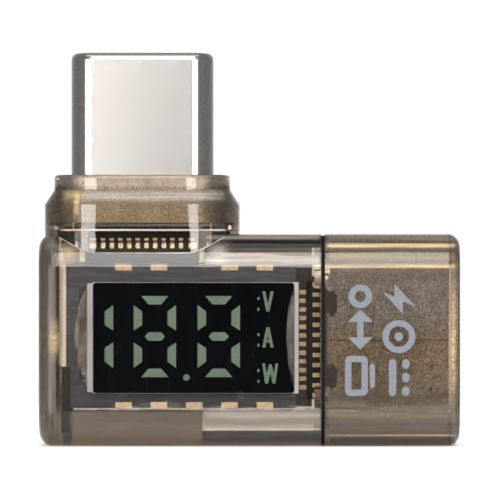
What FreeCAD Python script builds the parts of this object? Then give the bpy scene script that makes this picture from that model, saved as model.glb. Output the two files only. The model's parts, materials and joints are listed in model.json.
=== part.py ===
import FreeCAD, Part
import os

import Sketcher

# A right-angle USB-C power meter: a plug pointing up, a socket pointing right and an LED
# read-out between them, in a smoke-clear polycarbonate case.
# Frame: X along the body towards the socket, Y from the read-out to the back, Z up along the
# plug. The origin is at the centre of the bottom face. Sizes are in millimetres.

DIMENSIONS = {
    # case
    "body_length": 24.2,
    "body_height": 12.2,
    "body_depth": 7.6,
    "edge_round": 1.9,
    "corner_round": 0.8,
    "end_round": 0.65,
    "case_wall": 0.85,
    "seam_x": 4.12,
    "seam_gap": 0.22,
    "seal_inset": 0.08,
    "parting_gap": 0.04,
    "spigot_length": 0.6,
    "spigot_wall": 0.4,
    "spigot_play": 0.1,
    "spigot_round": 0.9,
    "clip_x": -10.54,
    "clip_width": 0.42,
    "clip_low": 0.84,
    "clip_high": 4.55,
    "clip_front": -3.2,
    "clip_back": -2.2,
    "bay_left": -10.9,
    "bay_low": 2.1,
    "bay_high": 10.4,
    "step_left": -2.7,
    "step_low": 1.25,
    "step_high": 11.0,
    "step_depth": 3.6,
    # collar round the plug
    "collar_width": 11.27,
    "collar_depth": 7.24,
    "collar_round": 3.0,
    "shoulder_low": 13.9,
    "shoulder_high": 14.75,
    "ring_width": 10.16,
    "ring_depth": 5.9,
    "ring_round": 2.5,
    "ring_top": 15.62,
    "ring_edge": 0.2,
    "plug_bay_width": 9.45,
    "plug_bay_depth": 4.6,
    "plug_bay_top": 12.45,
    # plug
    "plug_x": -6.19,
    "plug_width": 8.25,
    "plug_depth": 2.4,
    "plug_wall": 0.25,
    "plug_foot": 12.88,
    "plug_top": 22.69,
    "plug_tip_round": 0.4,
    "plug_lip": 0.45,
    "leg_spacing": 6.9,
    "leg_foot": 10.38,
    "leg_reach": 1.0,
    "leg_width": 0.3,
    "block_depth": 2.1,
    "block_ear_low": 11.05,
    "block_ear_depth": 4.4,
    "core_width": 7.7,
    "core_depth": 1.66,
    "core_foot": 13.0,
    "core_top": 22.1,
    "slot_foot": 13.9,
    "slot_depth": 1.04,
    "tail_foot": 11.7,
    "knee_z": 11.9,
    "latch_foot": 12.6,
    "latch_root": 16.2,
    "latch_gap": 0.05,
    "latch_reach": 3.4,
    "latch_thick": 0.18,
    "latch_height": 5.0,
    "latch_hook": 0.25,
    "plate_width": 5.8,
    "plate_thick": 0.2,
    "spring_width": 5.2,
    "spring_foot": 16.8,
    "spring_top": 21.6,
    "finger_pitch": 1.13,
    # contacts, the same on the plug and on the socket
    "contact_pitch": 0.5,
    "contact_width": 0.25,
    "contact_bump": 0.06,
    "contact_count": 12,
    # socket
    "port_z": 6.09,
    "port_width": 8.94,
    "port_depth": 3.16,
    "port_wall": 0.3,
    "port_rear": 4.55,
    "port_mouth": 11.85,
    "tongue_width": 6.69,
    "tongue_depth": 0.7,
    "tongue_tip": 11.15,
    "tongue_root": 6.2,
    "heel_pitch": 0.58,
    "heel_x": 3.855,
    "notch_spread": 4.2,
    "notch_length": 1.7,
    "notch_width": 1.45,
    "notch_round": 0.4,
    "rear_block_left": 3.3,
    "rear_block_height": 6.8,
    # boards
    "board_thick": 0.8,
    "board_right": 4.4,
    "board_top": 12.3,
    "readout_board_right": 2.7,
    "readout_board_thick": 0.6,
    "board_glue": 0.02,
    "first_pad_x": -7.26,
    "pad_pitch": 2.04,
    "pad_width": 0.95,
    "pad_tall": 0.34,
    "upper_pad_tall": 0.24,
    # read-out
    "readout_x": -3.195,
    "readout_z": 6.23,
    "readout_width": 11.57,
    "readout_height": 6.34,
    "readout_front": -2.75,
    "readout_back": -1.12,
    "mask_thick": 0.1,
    "frame_edge": 0.02,
    "ledge_width": 0.34,
    "glue_height": 5.8,
    "digit_width": 2.44,
    "digit_height": 4.66,
    "digit_pitch": 3.67,
    "digit_stroke": 0.49,
    "first_digit_x": -5.425,
    "digit_z": 6.31,
    "well_depth": 1.2,
    "letter_x": 0.74,
    "letter_width": 0.66,
    "letter_height": 1.16,
    "letter_pitch": 2.07,
    "letter_stroke": 0.18,
    "point_x": -3.61,
    "point_z": 3.96,
    "point_round": 0.19,
    # thin sheet metal of the contacts and springs
    "sheet_thick": 0.08,
}

doc = FreeCAD.newDocument("usb_power_meter")
sheet = doc.addObject("Spreadsheet::Sheet", "dims")
for row, (alias, size) in enumerate(DIMENSIONS.items(), start=1):
    sheet.set(f"A{row}", alias)
    sheet.set(f"B{row}", str(size))
    sheet.setAlias(f"B{row}", alias)
doc.recompute()

sub_parts = []


# ---------------------------------------------------------------- drawing helpers

def size_of(expression):
    """The value of an expression of sheet cells, in millimetres."""
    return float(sheet.evalExpression(str(expression)))


def keep(thing, label):
    """Names an object and lists it as a sub-part to write."""
    thing.Label = label
    sub_parts.append(thing)
    return thing


def new_body(label):
    return keep(doc.addObject("PartDesign::Body", label), label)


def origin_part(body, role):
    return next(item for item in body.Origin.OriginFeatures if item.Role == role)


def draw_on(body, name, role, across, up, along):
    """Starts a sketch on an origin plane, its own centre moved across and up and its plane moved along
    the world axis that crosses it."""
    sketch = body.newObject("Sketcher::SketchObject", name)
    sketch.AttachmentSupport = [(origin_part(body, role), "")]
    sketch.MapMode = "FlatFace"
    sign = "-1" if role == "XZ_Plane" else "1"
    sketch.setExpression("AttachmentOffset.Base.x", f"{across}")
    sketch.setExpression("AttachmentOffset.Base.y", f"{up}")
    sketch.setExpression("AttachmentOffset.Base.z", f"{sign} * ({along})")
    return sketch


def bind(sketch, constraint, expression):
    index = sketch.addConstraint(constraint)
    sketch.setExpression(f"Constraints[{index}]", f"{expression}")


def outline(sketch, points):
    """A closed run of straight lines."""
    first = sketch.GeometryCount
    count = len(points)
    corners = [FreeCAD.Vector(x, y, 0) for x, y in points]
    for i, corner in enumerate(corners):
        sketch.addGeometry(Part.LineSegment(corner, corners[(i + 1) % count]), False)
    for i in range(count):
        sketch.addConstraint(Sketcher.Constraint("Coincident", first + i, 2, first + (i + 1) % count, 1))


def rectangle(sketch, width, height):
    """A rectangle centred on the sketch's own centre."""
    half_width = size_of(width) / 2
    half_height = size_of(height) / 2
    outline(sketch, [(-half_width, -half_height), (half_width, -half_height),
                     (half_width, half_height), (-half_width, half_height)])
    for side in (0, 2):
        sketch.addConstraint(Sketcher.Constraint("Horizontal", side))
    for side in (1, 3):
        sketch.addConstraint(Sketcher.Constraint("Vertical", side))
    sketch.addConstraint(Sketcher.Constraint("Symmetric", 0, 1, 1, 2, -1, 1))
    bind(sketch, Sketcher.Constraint("DistanceX", 0, 1, 0, 2, 2 * half_width), width)
    bind(sketch, Sketcher.Constraint("DistanceY", 1, 1, 1, 2, 2 * half_height), height)


def arc(centre_x, centre_y, radius, quarter, quarters):
    """An arc that starts at a quarter turn and runs anticlockwise for a number of quarter turns."""
    circle = Part.Circle(FreeCAD.Vector(centre_x, centre_y, 0), FreeCAD.Vector(0, 0, 1), radius)
    quarter_turn = 1.5707963267948966
    return Part.ArcOfCircle(circle, quarter * quarter_turn, (quarter + quarters) * quarter_turn)


def rounded_rectangle(sketch, width, height, radius):
    """A rectangle with round corners, centred on the sketch's own centre."""
    x = size_of(width) / 2
    y = size_of(height) / 2
    r = size_of(radius)
    line = Part.LineSegment
    point = FreeCAD.Vector
    sketch.addGeometry([
        line(point(-x + r, -y, 0), point(x - r, -y, 0)),
        arc(x - r, -y + r, r, 3, 1),
        line(point(x, -y + r, 0), point(x, y - r, 0)),
        arc(x - r, y - r, r, 0, 1),
        line(point(x - r, y, 0), point(-x + r, y, 0)),
        arc(-x + r, y - r, r, 1, 1),
        line(point(-x, y - r, 0), point(-x, -y + r, 0)),
        arc(-x + r, -y + r, r, 2, 1),
    ], False)
    for i in range(8):
        sketch.addConstraint(Sketcher.Constraint("Tangent", i, 2, (i + 1) % 8, 1))
    for i in (0, 4):
        sketch.addConstraint(Sketcher.Constraint("Horizontal", i))
    for i in (2, 6):
        sketch.addConstraint(Sketcher.Constraint("Vertical", i))
    for i in (3, 5, 7):
        sketch.addConstraint(Sketcher.Constraint("Equal", 1, i))
    sketch.addConstraint(Sketcher.Constraint("Symmetric", 7, 3, 3, 3, -1, 1))
    bind(sketch, Sketcher.Constraint("Radius", 1, r), radius)
    bind(sketch, Sketcher.Constraint("DistanceX", 6, 1, 2, 1, 2 * x), width)
    bind(sketch, Sketcher.Constraint("DistanceY", 0, 1, 4, 2, 2 * y), height)


def stadium(sketch, length, thickness, upright=False):
    """A slot outline with half-round ends, lying along the sketch's X, or its Y when upright."""
    half = size_of(length) / 2
    r = size_of(thickness) / 2
    centre = half - r
    if upright:
        sketch.addGeometry([
            Part.LineSegment(FreeCAD.Vector(r, -centre, 0), FreeCAD.Vector(r, centre, 0)),
            arc(0, centre, r, 0, 2),
            Part.LineSegment(FreeCAD.Vector(-r, centre, 0), FreeCAD.Vector(-r, -centre, 0)),
            arc(0, -centre, r, 2, 2),
        ], False)
    else:
        sketch.addGeometry([
            Part.LineSegment(FreeCAD.Vector(-centre, -r, 0), FreeCAD.Vector(centre, -r, 0)),
            arc(centre, 0, r, 3, 2),
            Part.LineSegment(FreeCAD.Vector(centre, r, 0), FreeCAD.Vector(-centre, r, 0)),
            arc(-centre, 0, r, 1, 2),
        ], False)
    for i in range(4):
        sketch.addConstraint(Sketcher.Constraint("Tangent", i, 2, (i + 1) % 4, 1))
    sketch.addConstraint(Sketcher.Constraint("Vertical" if upright else "Horizontal", 0))
    sketch.addConstraint(Sketcher.Constraint("Symmetric", 1, 3, 3, 3, -1, 1))
    bind(sketch, Sketcher.Constraint("Radius", 1, r), f"({thickness}) / 2")
    span = "DistanceY" if upright else "DistanceX"
    bind(sketch, Sketcher.Constraint(span, 3, 3, 1, 3, 2 * centre), f"({length}) - ({thickness})")


def extrude(kind, body, name, sketch, length):
    """A Pad or a Pocket that runs from the sketch's plane towards plus X, Y or Z."""
    feature = body.newObject(f"PartDesign::{kind}", name)
    feature.Profile = (sketch, [""])
    feature.setExpression("Length", f"{length}")
    role = sketch.AttachmentSupport[0][0].Role
    feature.Reversed = (kind == "Pocket") != (role == "XZ_Plane")
    return feature


def pad(body, name, sketch, length):
    return extrude("Pad", body, name, sketch, length)


def pocket(body, name, sketch, length):
    return extrude("Pocket", body, name, sketch, length)


def slab(kind, body, name, left, right, front, back, low, high):
    """A rectangular Pad or Pocket between two X, two Y and two Z values."""
    sketch = draw_on(body, f"{name}_outline", "XZ_Plane", f"(({left}) + ({right})) / 2",
                     f"(({low}) + ({high})) / 2", front)
    rectangle(sketch, f"({right}) - ({left})", f"({high}) - ({low})")
    return extrude(kind, body, name, sketch, f"({back}) - ({front})")


def about(middle, width):
    """The low and high ends of a width about its middle."""
    return f"({middle}) - ({width}) / 2", f"({middle}) + ({width}) / 2"


def fillet_where(body, name, feature, radius, test):
    """Rounds the edges of a feature that pass a test on their bounding box."""
    doc.recompute()
    names = [f"Edge{i}" for i, edge in enumerate(feature.Shape.Edges, start=1) if test(edge.BoundBox)]
    rounding = body.newObject("PartDesign::Fillet", name)
    rounding.Base = (feature, names)
    rounding.setExpression("Radius", radius)
    return rounding


def repeat(body, name, originals, axis, pitch, count):
    """Repeats features along an origin axis and makes the run the body's tip."""
    run = body.newObject("PartDesign::LinearPattern", name)
    run.Originals = originals
    run.Direction = (origin_part(body, axis), [""])
    run.setExpression("Length", f"({pitch}) * (({count}) - 1)")
    run.setExpression("Occurrences", f"{count}")
    body.Tip = run
    return run


def block(label, left, right, front, back, low, high):
    """A sub-part that is one rectangular solid."""
    solid = keep(doc.addObject("Part::Box", label), label)
    for side, start, end, axis in (("Length", left, right, "x"), ("Width", front, back, "y"),
                                   ("Height", low, high, "z")):
        solid.setExpression(side, f"({end}) - ({start})")
        solid.setExpression(f"Placement.Base.{axis}", f"{start}")
    return solid


def carve(label, blank, tools):
    """A sub-part that is a blank with its neighbours' shapes cut out of it."""
    sub_parts.remove(blank)
    blank.Label = f"{label}_blank"
    cutter = tools[0]
    if len(tools) > 1:
        cutter = doc.addObject("Part::MultiFuse", f"{label}_cutter")
        cutter.Shapes = tools
    carved = doc.addObject("Part::Cut", label)
    carved.Base = blank
    carved.Tool = cutter
    return keep(carved, label)


# ---------------------------------------------------------------- case

def cover(label, is_front):
    """One half of the L-shaped case, split on the plane Y = 0, with its hollow inside."""
    body = new_body(label)
    section = draw_on(body, "section", "YZ_Plane", "0", "dims.body_height / 2", "-dims.body_length / 2")
    rounded_rectangle(section, "dims.body_depth", "dims.body_height", "dims.edge_round")
    bar = pad(body, "bar", section, "dims.body_length / 2 + dims.seam_x")
    end_plane = -size_of("dims.body_length") / 2
    fillet_where(body, "end_rounding", bar, "dims.corner_round", lambda box: box.XMax < end_plane + 0.01)

    foot = draw_on(body, "collar_outline", "XY_Plane", "dims.plug_x", "0", "dims.bay_high")
    rounded_rectangle(foot, "dims.collar_width", "dims.collar_depth", "dims.collar_round")
    pad(body, "collar", foot, "dims.shoulder_low - dims.bay_high")
    shoulder_low = draw_on(body, "shoulder_low", "XY_Plane", "dims.plug_x", "0", "dims.shoulder_low")
    rounded_rectangle(shoulder_low, "dims.collar_width", "dims.collar_depth", "dims.collar_round")
    shoulder_high = draw_on(body, "shoulder_high", "XY_Plane", "dims.plug_x", "0", "dims.shoulder_high")
    rounded_rectangle(shoulder_high, "dims.ring_width", "dims.ring_depth", "dims.ring_round")
    shoulder = body.newObject("PartDesign::AdditiveLoft", "shoulder")
    shoulder.Profile = (shoulder_low, [""])
    shoulder.Sections = [(shoulder_high, [""])]
    ring_outline = draw_on(body, "ring_outline", "XY_Plane", "dims.plug_x", "0", "dims.shoulder_high")
    rounded_rectangle(ring_outline, "dims.ring_width", "dims.ring_depth", "dims.ring_round")
    ring = pad(body, "ring", ring_outline, "dims.ring_top - dims.shoulder_high")
    ring_top = size_of("dims.ring_top")
    fillet_where(body, "ring_rounding", ring, "dims.ring_edge", lambda box: box.ZMin > ring_top - 0.01)

    depth_ends = about("0", "dims.body_depth - 2 * dims.case_wall")
    slab("Pocket", body, "read_out_bay", "dims.bay_left", "dims.seam_x + 1", *depth_ends, "dims.bay_low",
         "dims.bay_high")
    slab("Pocket", body, "socket_bay", "dims.step_left", "dims.seam_x + 1", *about("0", "dims.step_depth"),
         "dims.step_low", "dims.step_high")
    slab("Pocket", body, "plug_bay", *about("dims.plug_x", "dims.plug_bay_width"),
         *about("0", "dims.plug_bay_depth"), "dims.bay_high - 0.1", "dims.plug_bay_top")
    if is_front:
        slab("Pocket", body, "clip_slot", *about("dims.clip_x", "dims.clip_width"), "dims.clip_front",
             "dims.clip_back", "dims.clip_low", "dims.clip_high")
    channel = draw_on(body, "channel_outline", "XY_Plane", "dims.plug_x", "0", "dims.plug_bay_top - 0.1")
    stadium(channel, "dims.plug_width + 0.04", "dims.plug_depth + 0.04")
    pocket(body, "plug_channel", channel, "dims.ring_top - dims.plug_bay_top + 1")

    if is_front:
        start, end = "-dims.parting_gap / 2", "dims.body_depth"
    else:
        start, end = "-dims.body_depth", "dims.parting_gap / 2"
    slab("Pocket", body, "parting", "-dims.body_length", "dims.body_length", start, end, "-1",
         "dims.ring_top + 1")
    return body


def spigot_outline(body, name, play, along):
    """The outline that the sleeve's spigot and the hole of the seal share, smaller by a play."""
    sketch = draw_on(body, name, "YZ_Plane", "0", "(dims.bay_low + dims.bay_high) / 2", along)
    rounded_rectangle(sketch, f"dims.body_depth - 2 * dims.case_wall - {play}",
                      f"dims.bay_high - dims.bay_low - {play}", "dims.spigot_round")
    return sketch


def end_sleeve():
    """The one-piece sleeve round the socket, with a spigot that is glued into the two covers."""
    body = new_body("end_sleeve")
    start = "dims.seam_x + dims.seam_gap"
    section = draw_on(body, "section", "YZ_Plane", "0", "dims.body_height / 2", start)
    rounded_rectangle(section, "dims.body_depth", "dims.body_height", "dims.edge_round")
    bar = pad(body, "bar", section, f"dims.body_length / 2 - ({start})")
    end_plane = size_of("dims.body_length") / 2
    fillet_where(body, "end_rounding", bar, "dims.end_round", lambda box: box.XMin > end_plane - 0.01)
    spigot = spigot_outline(body, "spigot_outline", "dims.spigot_play", f"{start} - dims.spigot_length")
    pad(body, "spigot", spigot, "dims.spigot_length + 0.1")
    room = spigot_outline(body, "room_outline", "(dims.spigot_play + 2 * dims.spigot_wall)",
                          f"{start} - dims.spigot_length - 0.1")
    pocket(body, "rear_room", room, "dims.spigot_length + 0.3")
    hole = draw_on(body, "socket_outline", "YZ_Plane", "0", "dims.port_z", f"{start} - 0.1")
    stadium(hole, "dims.port_width + 0.04", "dims.port_depth + 0.04", upright=True)
    pocket(body, "socket_hole", hole, "dims.body_length / 2")
    return body


def seam_seal():
    """The thin dark ring between the covers and the sleeve, set a little below their faces."""
    body = new_body("seam_seal")
    start = "dims.seam_x + 0.01"
    thickness = "dims.seam_gap - 0.02"
    section = draw_on(body, "section", "YZ_Plane", "0", "dims.body_height / 2", start)
    rounded_rectangle(section, "dims.body_depth - 2 * dims.seal_inset",
                      "dims.body_height - 2 * dims.seal_inset", "dims.edge_round - dims.seal_inset")
    pad(body, "ring", section, thickness)
    hole = spigot_outline(body, "hole_outline", "(dims.spigot_play - 0.04)", f"{start} - 0.1")
    pocket(body, "hole", hole, "dims.seam_gap + 0.2")
    return body


# ---------------------------------------------------------------- plug

def plug_shell():
    """The drawn steel shell, its tip curled inward, with two legs that are soldered to the board."""
    body = new_body("plug_shell")
    tube = draw_on(body, "tube_outline", "XY_Plane", "dims.plug_x", "0", "dims.plug_foot")
    stadium(tube, "dims.plug_width", "dims.plug_depth")
    wall = pad(body, "tube", tube, "dims.plug_top - dims.plug_foot")
    top = size_of("dims.plug_top")
    fillet_where(body, "tip_rounding", wall, "dims.plug_tip_round", lambda box: box.ZMin > top - 0.01)
    bore = draw_on(body, "bore_outline", "XY_Plane", "dims.plug_x", "0", "dims.plug_foot - 0.1")
    stadium(bore, "dims.plug_width - 2 * dims.plug_wall", "dims.plug_depth - 2 * dims.plug_wall")
    pocket(body, "bore", bore, "dims.plug_top - dims.plug_foot + 0.1 - dims.plug_lip")
    mouth = draw_on(body, "mouth_outline", "XY_Plane", "dims.plug_x", "0",
                    "dims.plug_top - dims.plug_lip - 0.1")
    stadium(mouth, "dims.plug_width - 2 * dims.plug_lip", "dims.plug_depth - 2 * dims.plug_lip")
    pocket(body, "mouth", mouth, "1")
    for name, side in (("left_leg", "-1"), ("right_leg", "1")):
        middle = f"dims.plug_x + {side} * dims.leg_spacing / 2"
        slab("Pad", body, name, *about(middle, "dims.leg_width"), "-dims.leg_reach",
             "-dims.leg_reach + dims.plug_wall", "dims.leg_foot", "dims.plug_foot + 0.1")
    return body


def contact_run(body, name, profile, length, axis):
    """Pads one contact and repeats it twelve times at the standard pitch."""
    strip = pad(body, name, profile, length)
    return repeat(body, f"{name}_run", [strip], axis, "dims.contact_pitch", "dims.contact_count")


def plug_contacts(label, side):
    """Twelve strips down one wall of the plug's slot to the board, each with a sprung tip and a knee."""
    body = new_body(label)
    first = "dims.plug_x - dims.contact_pitch * (dims.contact_count - 1) / 2 - dims.contact_width / 2"
    profile = draw_on(body, "profile", "YZ_Plane", "0", "0", first)
    board = size_of("dims.board_thick") / 2
    wall = size_of("dims.slot_depth") / 2
    tip = size_of("dims.core_top") - 0.9
    foot = size_of("dims.tail_foot")
    knee = size_of("dims.knee_z")
    knee_face = size_of("dims.slot_depth") + 0.02
    bump = size_of("dims.contact_bump")
    points = [(board, foot), (wall, foot), (wall, knee - 0.07), (knee_face, knee - 0.07),
              (knee_face, knee + 0.07), (wall, knee + 0.07), (wall, tip), (board + bump, tip),
              (board - bump, tip - 0.7), (board, tip - 1.3)]
    outline(profile, [(side * y, z) for y, z in points])
    contact_run(body, "strip", profile, "dims.contact_width", "X_Axis")
    return body


def latch_plate():
    """The flat spring-steel plate in the middle of the plug that carries the two latch arms."""
    body = new_body("latch_plate")
    thick_ends = about("0", "dims.plate_thick")
    slab("Pad", body, "plate", *about("dims.plug_x", "dims.plate_width"), *thick_ends, "dims.latch_foot",
         "dims.latch_root")
    slab("Pad", body, "shoulders", *about("dims.plug_x", "2 * (dims.latch_reach + dims.latch_thick)"),
         *thick_ends, "dims.latch_root - 0.6", "dims.latch_root")
    return body


def latch_arm(label, side):
    """One springy side arm with the hook that holds the plug in a socket."""
    body = new_body(label)
    near = size_of("dims.latch_reach")
    far = near + size_of("dims.latch_thick")
    hook = near - size_of("dims.latch_hook")
    root = size_of("dims.latch_root + dims.latch_gap")
    top = root + size_of("dims.latch_height")
    profile = draw_on(body, "profile", "XZ_Plane", "dims.plug_x", "0", "-0.2")
    points = [(near, root), (far, root), (far, top), (near + 0.05, top), (hook, top - 0.35),
              (hook, top - 0.55), (near, top - 0.8)]
    outline(profile, [(side * x, z) for x, z in points])
    pad(body, "arm", profile, "0.4")
    return body


def ground_springs():
    """Two thin slotted plates between the core and the shell that earth the socket's shell."""
    body = new_body("ground_springs")
    for name, start in (("front", "-dims.core_depth / 2 - 0.01 - dims.sheet_thick"),
                        ("rear", "dims.core_depth / 2 + 0.01")):
        slab("Pad", body, f"{name}_plate", *about("dims.plug_x", "dims.spring_width"), start,
             f"{start} + dims.sheet_thick", "dims.spring_foot", "dims.spring_top")
    slot = slab("Pocket", body, "finger_slot", *about("dims.plug_x - 1.5 * dims.finger_pitch", "0.2"),
                "-dims.core_depth", "dims.core_depth", "dims.spring_foot + 1.2", "dims.spring_top + 1")
    repeat(body, "finger_slots", [slot], "X_Axis", "dims.finger_pitch", "4")
    return body


def plug_core(tools):
    """The black moulding inside the plug, slotted for the socket's tongue and cut for its contacts."""
    body = new_body("plug_core")
    blank = draw_on(body, "blank_outline", "XY_Plane", "dims.plug_x", "0", "dims.core_foot")
    stadium(blank, "dims.core_width", "dims.core_depth")
    pad(body, "blank", blank, "dims.core_top - dims.core_foot")
    slab("Pocket", body, "tongue_slot", *about("dims.plug_x", "dims.plug_width"),
         *about("0", "dims.slot_depth"), "dims.slot_foot", "dims.core_top + 1")
    return carve("plug_core", body, tools)


def plug_rear_block(tools):
    """The black moulding that clamps the contact tails where the plug straddles the board, with a deeper
    ear at each end and a neck that reaches up to the shell."""
    body = new_body("plug_rear_block")
    width = "(dims.plug_bay_width - 0.2)"
    top = "dims.plug_bay_top - 0.03"
    slab("Pad", body, "block", *about("dims.plug_x", width), *about("0", "dims.block_depth"),
         "dims.tail_foot + 0.05", top)
    inner = "(dims.leg_spacing / 2 + 0.2)"
    for name, start, end in (("left_ear", f"dims.plug_x - {width} / 2", f"dims.plug_x - {inner}"),
                             ("right_ear", f"dims.plug_x + {inner}", f"dims.plug_x + {width} / 2")):
        slab("Pad", body, name, start, end, *about("0", "dims.block_ear_depth"), "dims.block_ear_low", top)
    neck = draw_on(body, "neck_outline", "XY_Plane", "dims.plug_x", "0", f"{top} - 0.1")
    stadium(neck, "dims.plug_width - 0.04", "dims.plug_depth - 0.04")
    pad(body, "neck", neck, f"dims.plug_foot - 0.03 - ({top} - 0.1)")
    return carve("plug_rear_block", body, tools)


def plug_solder():
    """The solder joints under the ends of the front and rear contact tails."""
    body = new_body("plug_solder")
    first = "dims.plug_x - dims.contact_pitch * (dims.contact_count - 1) / 2"
    joints = []
    for name, start in (("front", "-dims.board_thick / 2 - 0.22"), ("rear", "dims.board_thick / 2")):
        spot = draw_on(body, f"{name}_spot", "XZ_Plane", first, "dims.tail_foot - 0.17", start)
        rounded_rectangle(spot, "0.26", "0.32", "0.1")
        joints.append(pad(body, f"{name}_joint", spot, "0.22"))
    repeat(body, "joint_run", joints, "X_Axis", "dims.contact_pitch", "dims.contact_count")
    return body


# ---------------------------------------------------------------- socket

def port_shell():
    """The socket's drawn steel shell with two notches at the rear of its front face."""
    body = new_body("port_shell")
    tube = draw_on(body, "tube_outline", "YZ_Plane", "0", "dims.port_z", "dims.port_rear")
    stadium(tube, "dims.port_width", "dims.port_depth", upright=True)
    pad(body, "tube", tube, "dims.port_mouth - dims.port_rear")
    bore = draw_on(body, "bore_outline", "YZ_Plane", "0", "dims.port_z", "dims.port_rear - 0.1")
    stadium(bore, "dims.port_width - 2 * dims.port_wall", "dims.port_depth - 2 * dims.port_wall",
            upright=True)
    pocket(body, "bore", bore, "dims.port_mouth")
    for name, side in (("upper", "1"), ("lower", "-1")):
        notch = draw_on(body, f"{name}_notch_outline", "XZ_Plane", "dims.port_rear - 0.35",
                        f"dims.port_z + {side} * dims.notch_spread / 2", "-dims.port_depth")
        rounded_rectangle(notch, "dims.notch_length", "dims.notch_width", "dims.notch_round")
        pocket(body, f"{name}_notch", notch, "dims.port_depth - 0.5")
    return body


def port_contacts(label, side, tail_end):
    """Twelve strips along one face of the socket's tongue, with tails that lie on the board."""
    body = new_body(label)
    first = "dims.port_z - dims.contact_pitch * (dims.contact_count - 1) / 2 - dims.contact_width / 2"
    profile = draw_on(body, "profile", "XY_Plane", "0", "0", first)
    face = size_of("dims.tongue_depth") / 2 + 0.03
    sheet_thick = size_of("dims.sheet_thick")
    under = face - sheet_thick
    board = size_of("dims.board_thick") / 2
    over = board + sheet_thick
    tip = size_of("dims.tongue_tip") - 0.45
    bend = size_of("dims.board_right") + 0.06
    points = [(tail_end, board), (bend, board), (bend + 0.1, under), (tip, under), (tip, face),
              (bend + 0.1, face), (bend, over), (tail_end, over)]
    outline(profile, [(x, side * y) for x, y in points])
    contact_run(body, "strip", profile, "dims.contact_width", "Z_Axis")
    return body


def port_mid_plate():
    """The steel plate in the middle of the tongue, which the plug's latch arms hook on to."""
    return block("port_mid_plate", "dims.tongue_root + 0.1", "dims.tongue_tip - 0.1", *about("0", "0.1"),
                 *about("dims.port_z", "dims.tongue_width + 0.06"))


def port_core(tools):
    """The black moulding that closes the back of the socket and carries its tongue."""
    body = new_body("port_core")
    base = draw_on(body, "base_outline", "YZ_Plane", "0", "dims.port_z", "dims.port_rear + 0.07")
    stadium(base, "dims.port_width - 2 * dims.port_wall - 0.04",
            "dims.port_depth - 2 * dims.port_wall - 0.04", upright=True)
    pad(body, "base", base, "dims.tongue_root - dims.port_rear - 0.07")
    height_ends = about("dims.port_z", "dims.tongue_width")
    slab("Pad", body, "tongue_step", "dims.tongue_root - 0.1", "dims.tongue_root + 0.75", *about("0", "1.2"),
         *height_ends)
    slab("Pad", body, "tongue", "dims.tongue_root", "dims.tongue_tip", *about("0", "dims.tongue_depth"),
         *height_ends)
    return carve("port_core", body, tools)


def port_heels():
    """The exposed bends of the socket's second contact row, in the face of the rear block."""
    body = new_body("port_heels")
    first = "dims.port_z - dims.heel_pitch * (dims.contact_count - 1) / 2"
    heel = slab("Pad", body, "heel", *about("dims.heel_x", "0.39"), "-dims.block_depth / 2 - 0.01",
                "-dims.block_depth / 2 + 0.25", *about(first, "0.24"))
    repeat(body, "heel_run", [heel], "Z_Axis", "dims.heel_pitch", "dims.contact_count")
    return body


def port_rear_block(tools):
    """The black moulding behind the socket that holds its contact tails on the board."""
    body = new_body("port_rear_block")
    slab("Pad", body, "block", "dims.rear_block_left", "dims.port_rear - 0.07",
         "-dims.block_depth / 2 + 0.03", "-dims.board_thick / 2",
         *about("dims.port_z", "dims.rear_block_height"))
    return carve("port_rear_block", body, tools)


# ---------------------------------------------------------------- boards and components

def main_board():
    """The circuit board, with a tab at the top that the plug straddles."""
    body = new_body("main_board")
    thick_ends = about("0", "dims.board_thick")
    slab("Pad", body, "board", "dims.bay_left + 0.12", "dims.seam_x - dims.spigot_length + 0.1", *thick_ends,
         "dims.bay_low + 0.12", "dims.bay_high - 0.12")
    slab("Pad", body, "socket_tab", "dims.seam_x - 1", "dims.board_right", *thick_ends,
         "dims.bay_low + 0.62", "dims.bay_high - 0.62")
    slab("Pad", body, "plug_tab", *about("dims.plug_x", "dims.plug_bay_width - 0.3"), *thick_ends,
         "dims.bay_high - 0.2", "dims.board_top")
    return body


def readout_board():
    """The small board that carries the read-out, soldered on to the main board by its edge pads."""
    back = "-dims.board_thick / 2 - dims.board_glue"
    return block("readout_board", "dims.bay_left + 0.08", "dims.readout_board_right",
                 f"{back} - dims.readout_board_thick", back, "dims.bay_low + 0.06", "dims.bay_high - 0.06")


def edge_pads():
    """The gilt half-hole pads along the two long edges of the read-out board."""
    body = new_body("edge_pads")
    back = "-dims.board_thick / 2 - dims.board_glue - dims.readout_board_thick"
    front = f"{back} - 0.05"
    low = "dims.bay_low + 0.06"
    high = "dims.bay_high - 0.06"
    for row, start, end, places in (("lower", low, f"{low} + dims.pad_tall", (0, 1, 2, 3, 4)),
                                    ("upper", f"{high} - dims.upper_pad_tall", high, (0, 1, 3, 4))):
        for place in places:
            middle = f"dims.first_pad_x + {place} * dims.pad_pitch"
            slab("Pad", body, f"{row}_pad_{place}", *about(middle, "dims.pad_width"), front, back, start, end)
    return body


def chip(label, centre_x, centre_z, length, height, thickness):
    """A moulded package on the back of the main board."""
    back = "dims.board_thick / 2"
    return block(label, *about(centre_x, length), f"{back} + 0.06", f"{back} + 0.06 + {thickness}",
                 *about(centre_z, height))


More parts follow.
